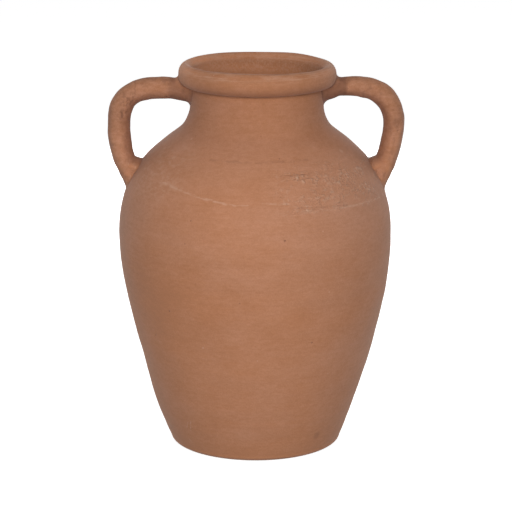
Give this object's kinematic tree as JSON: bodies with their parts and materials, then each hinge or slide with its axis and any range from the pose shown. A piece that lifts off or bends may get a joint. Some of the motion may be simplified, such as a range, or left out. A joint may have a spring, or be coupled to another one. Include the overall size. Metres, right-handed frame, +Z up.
{
  "type": "amphora",
  "caption": "Unglazed terracotta amphora: full belly tapering to a flat foot, sloping shoulder, short neck with a rolled lip, and a looped handle each side from neck to shoulder.",
  "frame": {"origin": "centre of the foot's flat resting face", "axes": "+Z up along the axis that the wall is turned about, +X towards the right handle and -X towards the left handle, +Y towards the back"},
  "size_m": [0.2931, 0.2706, 0.3836],
  "materials": {
    "thrown_terracotta": "matt unglazed earthenware with fine turning lines and pale dusty scuffs",
    "handle_terracotta": "matt unglazed earthenware, smoothed by hand",
    "collar_clay": "matt unglazed earthenware, darker where the slip was wiped on"
  },
  "bodies": {
    "root": {"belly": "thrown_terracotta", "shoulder": "thrown_terracotta", "neck": "thrown_terracotta", "rolled_lip": "thrown_terracotta", "left_handle": "handle_terracotta", "right_handle": "handle_terracotta", "left_neck_collar": "collar_clay", "left_shoulder_collar": "collar_clay", "right_neck_collar": "collar_clay", "right_shoulder_collar": "collar_clay"}
  },
  "joints": []
}
